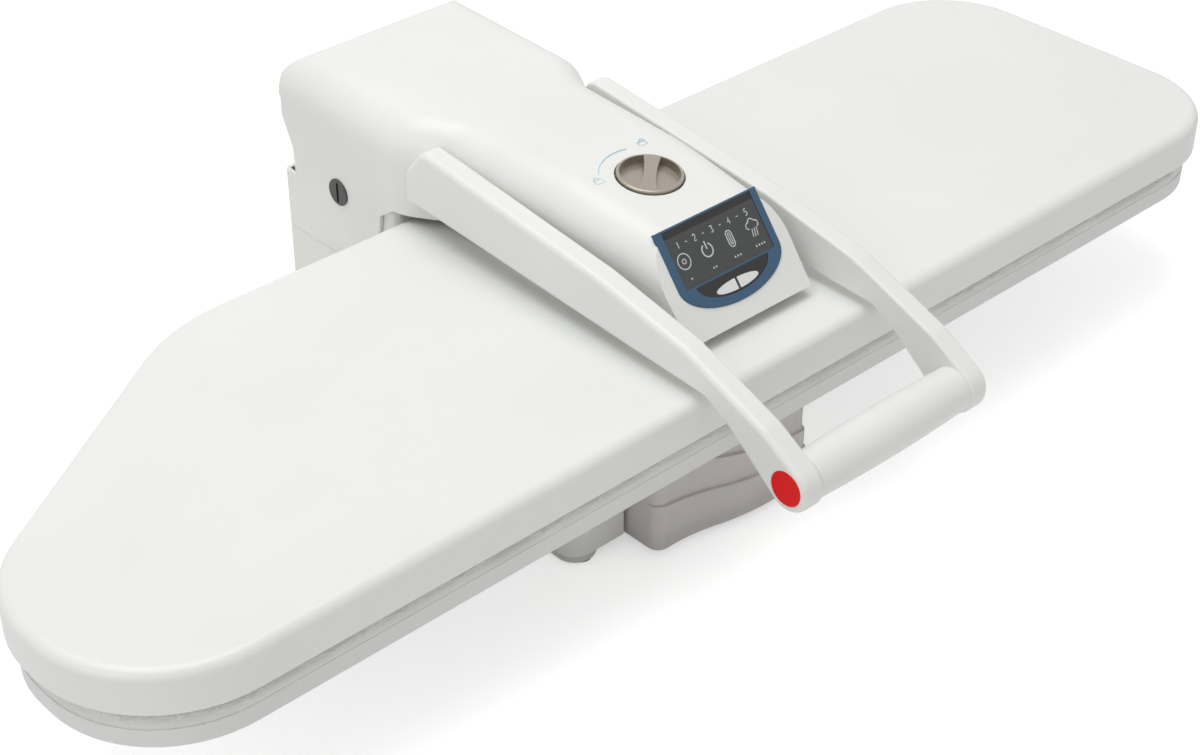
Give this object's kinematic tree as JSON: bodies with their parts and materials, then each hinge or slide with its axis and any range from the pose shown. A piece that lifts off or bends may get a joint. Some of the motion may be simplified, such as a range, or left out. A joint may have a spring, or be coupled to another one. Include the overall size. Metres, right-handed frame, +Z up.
{
  "type": "steam press",
  "caption": "Tabletop ironing press: a long padded board on a base with a water tank, and a hinged heated plate above it with a handle, control panel and lock knob.",
  "frame": {"origin": "on the table, under the middle of the whole press", "axes": "+X along the board towards its square end, +Y to the rear where the hinge is, +Z up"},
  "size_m": [0.909, 0.4784, 0.2075],
  "materials": {
    "cover_white": "satin white enamel, warm",
    "shell_white": "smooth white moulding, semi gloss",
    "case_grey": "warm grey moulding, matt",
    "shoe_aluminium": "polished cast aluminium",
    "steel": "zinc plated pressed steel",
    "spring_steel": "oiled spring wire",
    "black_steel": "black enamel",
    "bronze": "sintered bronze",
    "brass": "plain brass",
    "blanket": "woven glass blanket",
    "pad": "white felt",
    "board_cloth": "silvery coated cotton",
    "rubber": "soft black rubber",
    "hose": "milky silicone",
    "knob": "dark bronze metallic moulding",
    "red": "glossy red",
    "bezel_blue": "deep blue",
    "black_gloss": "glossy black",
    "window": "smoked clear window",
    "button_white": "white keys",
    "cap_grey": "dark grey cap",
    "board_green": "green circuit board and parts",
    "dark_plastic": "black moulding",
    "tank": "smoked clear moulding",
    "tank_grey": "dark grey moulding"
  },
  "bodies": {
    "base": {"base_casing": "case_grey", "base_plate": "black_steel", "base_feet": "case_grey", "rubber_feet": "rubber", "base_screws": "steel", "column_cover": "shell_white", "column_frame": "steel", "hinge_bushes": "bronze", "counter_springs": "spring_steel", "micro_switch": "dark_plastic", "swivel_union": "brass", "board_frame": "black_steel", "board_pan": "steel", "board_pad": "pad", "board_cover": "board_cloth", "tank_dock": "dark_plastic", "pump": "dark_plastic", "base_hoses": "hose", "power_board": "board_green", "cord_gland": "dark_plastic"},
    "head": {"head_shell": "shell_white", "head_under_cover": "case_grey", "head_frame": "steel", "spring_plate": "steel", "hinge_shafts": "steel", "pivot_caps": "cap_grey", "left_arm": "shell_white", "right_arm": "shell_white", "handle_grip": "case_grey", "grip_core": "steel", "button_switch": "dark_plastic", "panel_bezel": "bezel_blue", "panel_insert": "black_gloss", "display_window": "window", "panel_board": "board_green", "head_hose": "hose", "head_screws": "steel", "press_springs": "spring_steel"},
    "press": {"platen_cover": "cover_white", "heating_plate": "shoe_aluminium", "heating_element": "steel", "steam_chamber": "shoe_aluminium", "steam_pipe": "brass", "thermostat": "brass", "thermal_fuse": "dark_plastic", "heat_blanket": "blanket", "press_posts": "steel", "cover_pillars": "steel"},
    "lock_knob": {"lock_knob": "knob"},
    "lock_bar": {"lock_bar": "steel"},
    "steam_button": {"steam_button": "red"},
    "set_button_left": {"set_button_left": "button_white"},
    "set_button_right": {"set_button_right": "button_white"},
    "tank": {"water_tank": "tank", "tank_valve": "tank_grey"},
    "tank_cap": {"tank_cap": "tank_grey"}
  },
  "joints": [
    {"name": "head_hinge", "type": "hinge", "parent": "base", "child": "head", "pos_m": [0.0045, 0.1735, 0.1313], "axis": [-1, 0, 0], "range_deg": [0, 55], "stiffness_Nm_per_rad": 3, "springref_deg": 85.94},
    {"name": "press_float", "type": "slide", "parent": "head", "child": "press", "axis": [0, 0, 1], "range_m": [0, 0.003], "stiffness_N_per_m": 4000, "springref_m": -0.004, "deforming": ["press_springs"]},
    {"name": "lock_turn", "type": "hinge", "parent": "head", "child": "lock_knob", "pos_m": [0.0045, -0.034, 0.201], "axis": [0, -0.0958, 0.9954], "range_deg": [0, 70]},
    {"name": "lock_slide", "type": "slide", "parent": "head", "child": "lock_bar", "axis": [0, 1, 0], "range_m": [0, 0.00803]},
    {"name": "steam_button_press", "type": "slide", "parent": "head", "child": "steam_button", "axis": [1, 0, 0], "range_m": [0, 0.003], "stiffness_N_per_m": 500, "springref_m": -0.0008},
    {"name": "set_left_press", "type": "slide", "parent": "head", "child": "set_button_left", "axis": [0, 0.7826, -0.6225], "range_m": [0, 0.0008], "stiffness_N_per_m": 700, "springref_m": -0.0003},
    {"name": "set_right_press", "type": "slide", "parent": "head", "child": "set_button_right", "axis": [0, 0.7826, -0.6225], "range_m": [0, 0.0008], "stiffness_N_per_m": 700, "springref_m": -0.0003},
    {"name": "tank_slide", "type": "slide", "parent": "base", "child": "tank", "axis": [0, -1, 0], "range_m": [0, 0.12]},
    {"name": "tank_cap_turn", "type": "hinge", "parent": "tank", "child": "tank_cap", "pos_m": [-0.0065, -0.031, 0.072], "axis": [0, 0, 1], "range_deg": [0, 90]}
  ],
  "couplings": [
    {"joint": "lock_turn", "follows": "lock_slide", "rad_per_m": 152.15}
  ]
}
